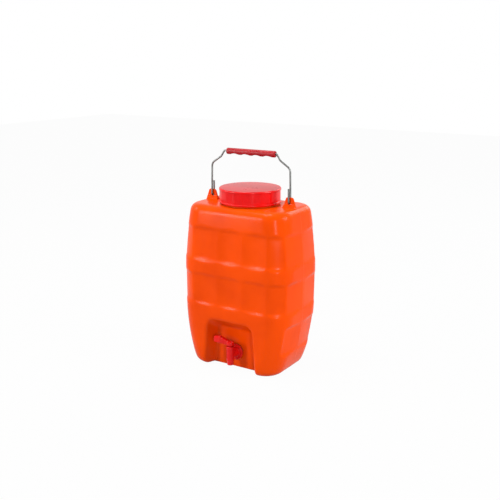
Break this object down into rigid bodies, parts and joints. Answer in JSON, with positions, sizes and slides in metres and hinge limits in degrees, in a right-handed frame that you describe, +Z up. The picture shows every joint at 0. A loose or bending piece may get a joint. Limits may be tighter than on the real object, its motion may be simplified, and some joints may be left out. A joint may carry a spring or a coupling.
{
  "type": "camping water canister",
  "caption": "Orange camping water canister with a wide red screw lid, a wire bail with a grip sleeve and a red stopcock in a recess at its foot.",
  "frame": {"origin": "on the ground under the middle of the tank", "axes": "+Z up, -Y towards the tap side, X along the width of the tank"},
  "size_m": [0.241, 0.1577, 0.4256],
  "materials": {
    "orange_shell": "blow moulded polyethylene with a soft gloss",
    "red_lid": "injection moulded, slightly see through",
    "red_tap": "injection moulded, darker red",
    "red_grip": "soft sleeve",
    "bail_steel": "bright plated wire",
    "seal_rubber": "smooth seal"
  },
  "bodies": {
    "tank": {"tank_body": "orange_shell", "tap_body": "red_tap", "tap_outer_washer": "seal_rubber", "tap_inner_washer": "seal_rubber", "tap_lock_nut": "red_tap", "tap_bonnet": "red_tap"},
    "bail": {"bail_wire": "bail_steel"},
    "grip": {"grip_sleeve": "red_grip"},
    "seal": {"lid_gasket": "seal_rubber"},
    "cover": {"lid": "red_lid"},
    "valve": {"tap_plug": "red_tap", "plug_lower_ring": "seal_rubber", "plug_upper_ring": "seal_rubber", "tap_lever": "red_tap"}
  },
  "joints": [
    {"name": "bail_rock", "type": "hinge", "parent": "tank", "child": "bail", "pos_m": [0, 0, 0.3357], "axis": [1, 0, 0], "range_deg": [-4.5, 4.5]},
    {"name": "grip_spin", "type": "hinge", "parent": "bail", "child": "grip", "pos_m": [0, 0, 0.42], "axis": [0.9991, 0.0429, 0], "continuous": true},
    {"name": "lid_lift", "type": "slide", "parent": "tank", "child": "seal", "axis": [0, 0, 1], "range_m": [0, 0.03]},
    {"name": "lid_turn", "type": "hinge", "parent": "seal", "child": "cover", "pos_m": [0, 0, 0.34], "axis": [0, 0, 1], "range_deg": [0, 1800]},
    {"name": "tap_turn", "type": "hinge", "parent": "tank", "child": "valve", "pos_m": [0, -0.072, 0.033], "axis": [0, 0, 1], "range_deg": [0, 90]}
  ],
  "couplings": [
    {"joint": "lid_lift", "follows": "lid_turn", "m_per_rad": 0.0009549}
  ]
}
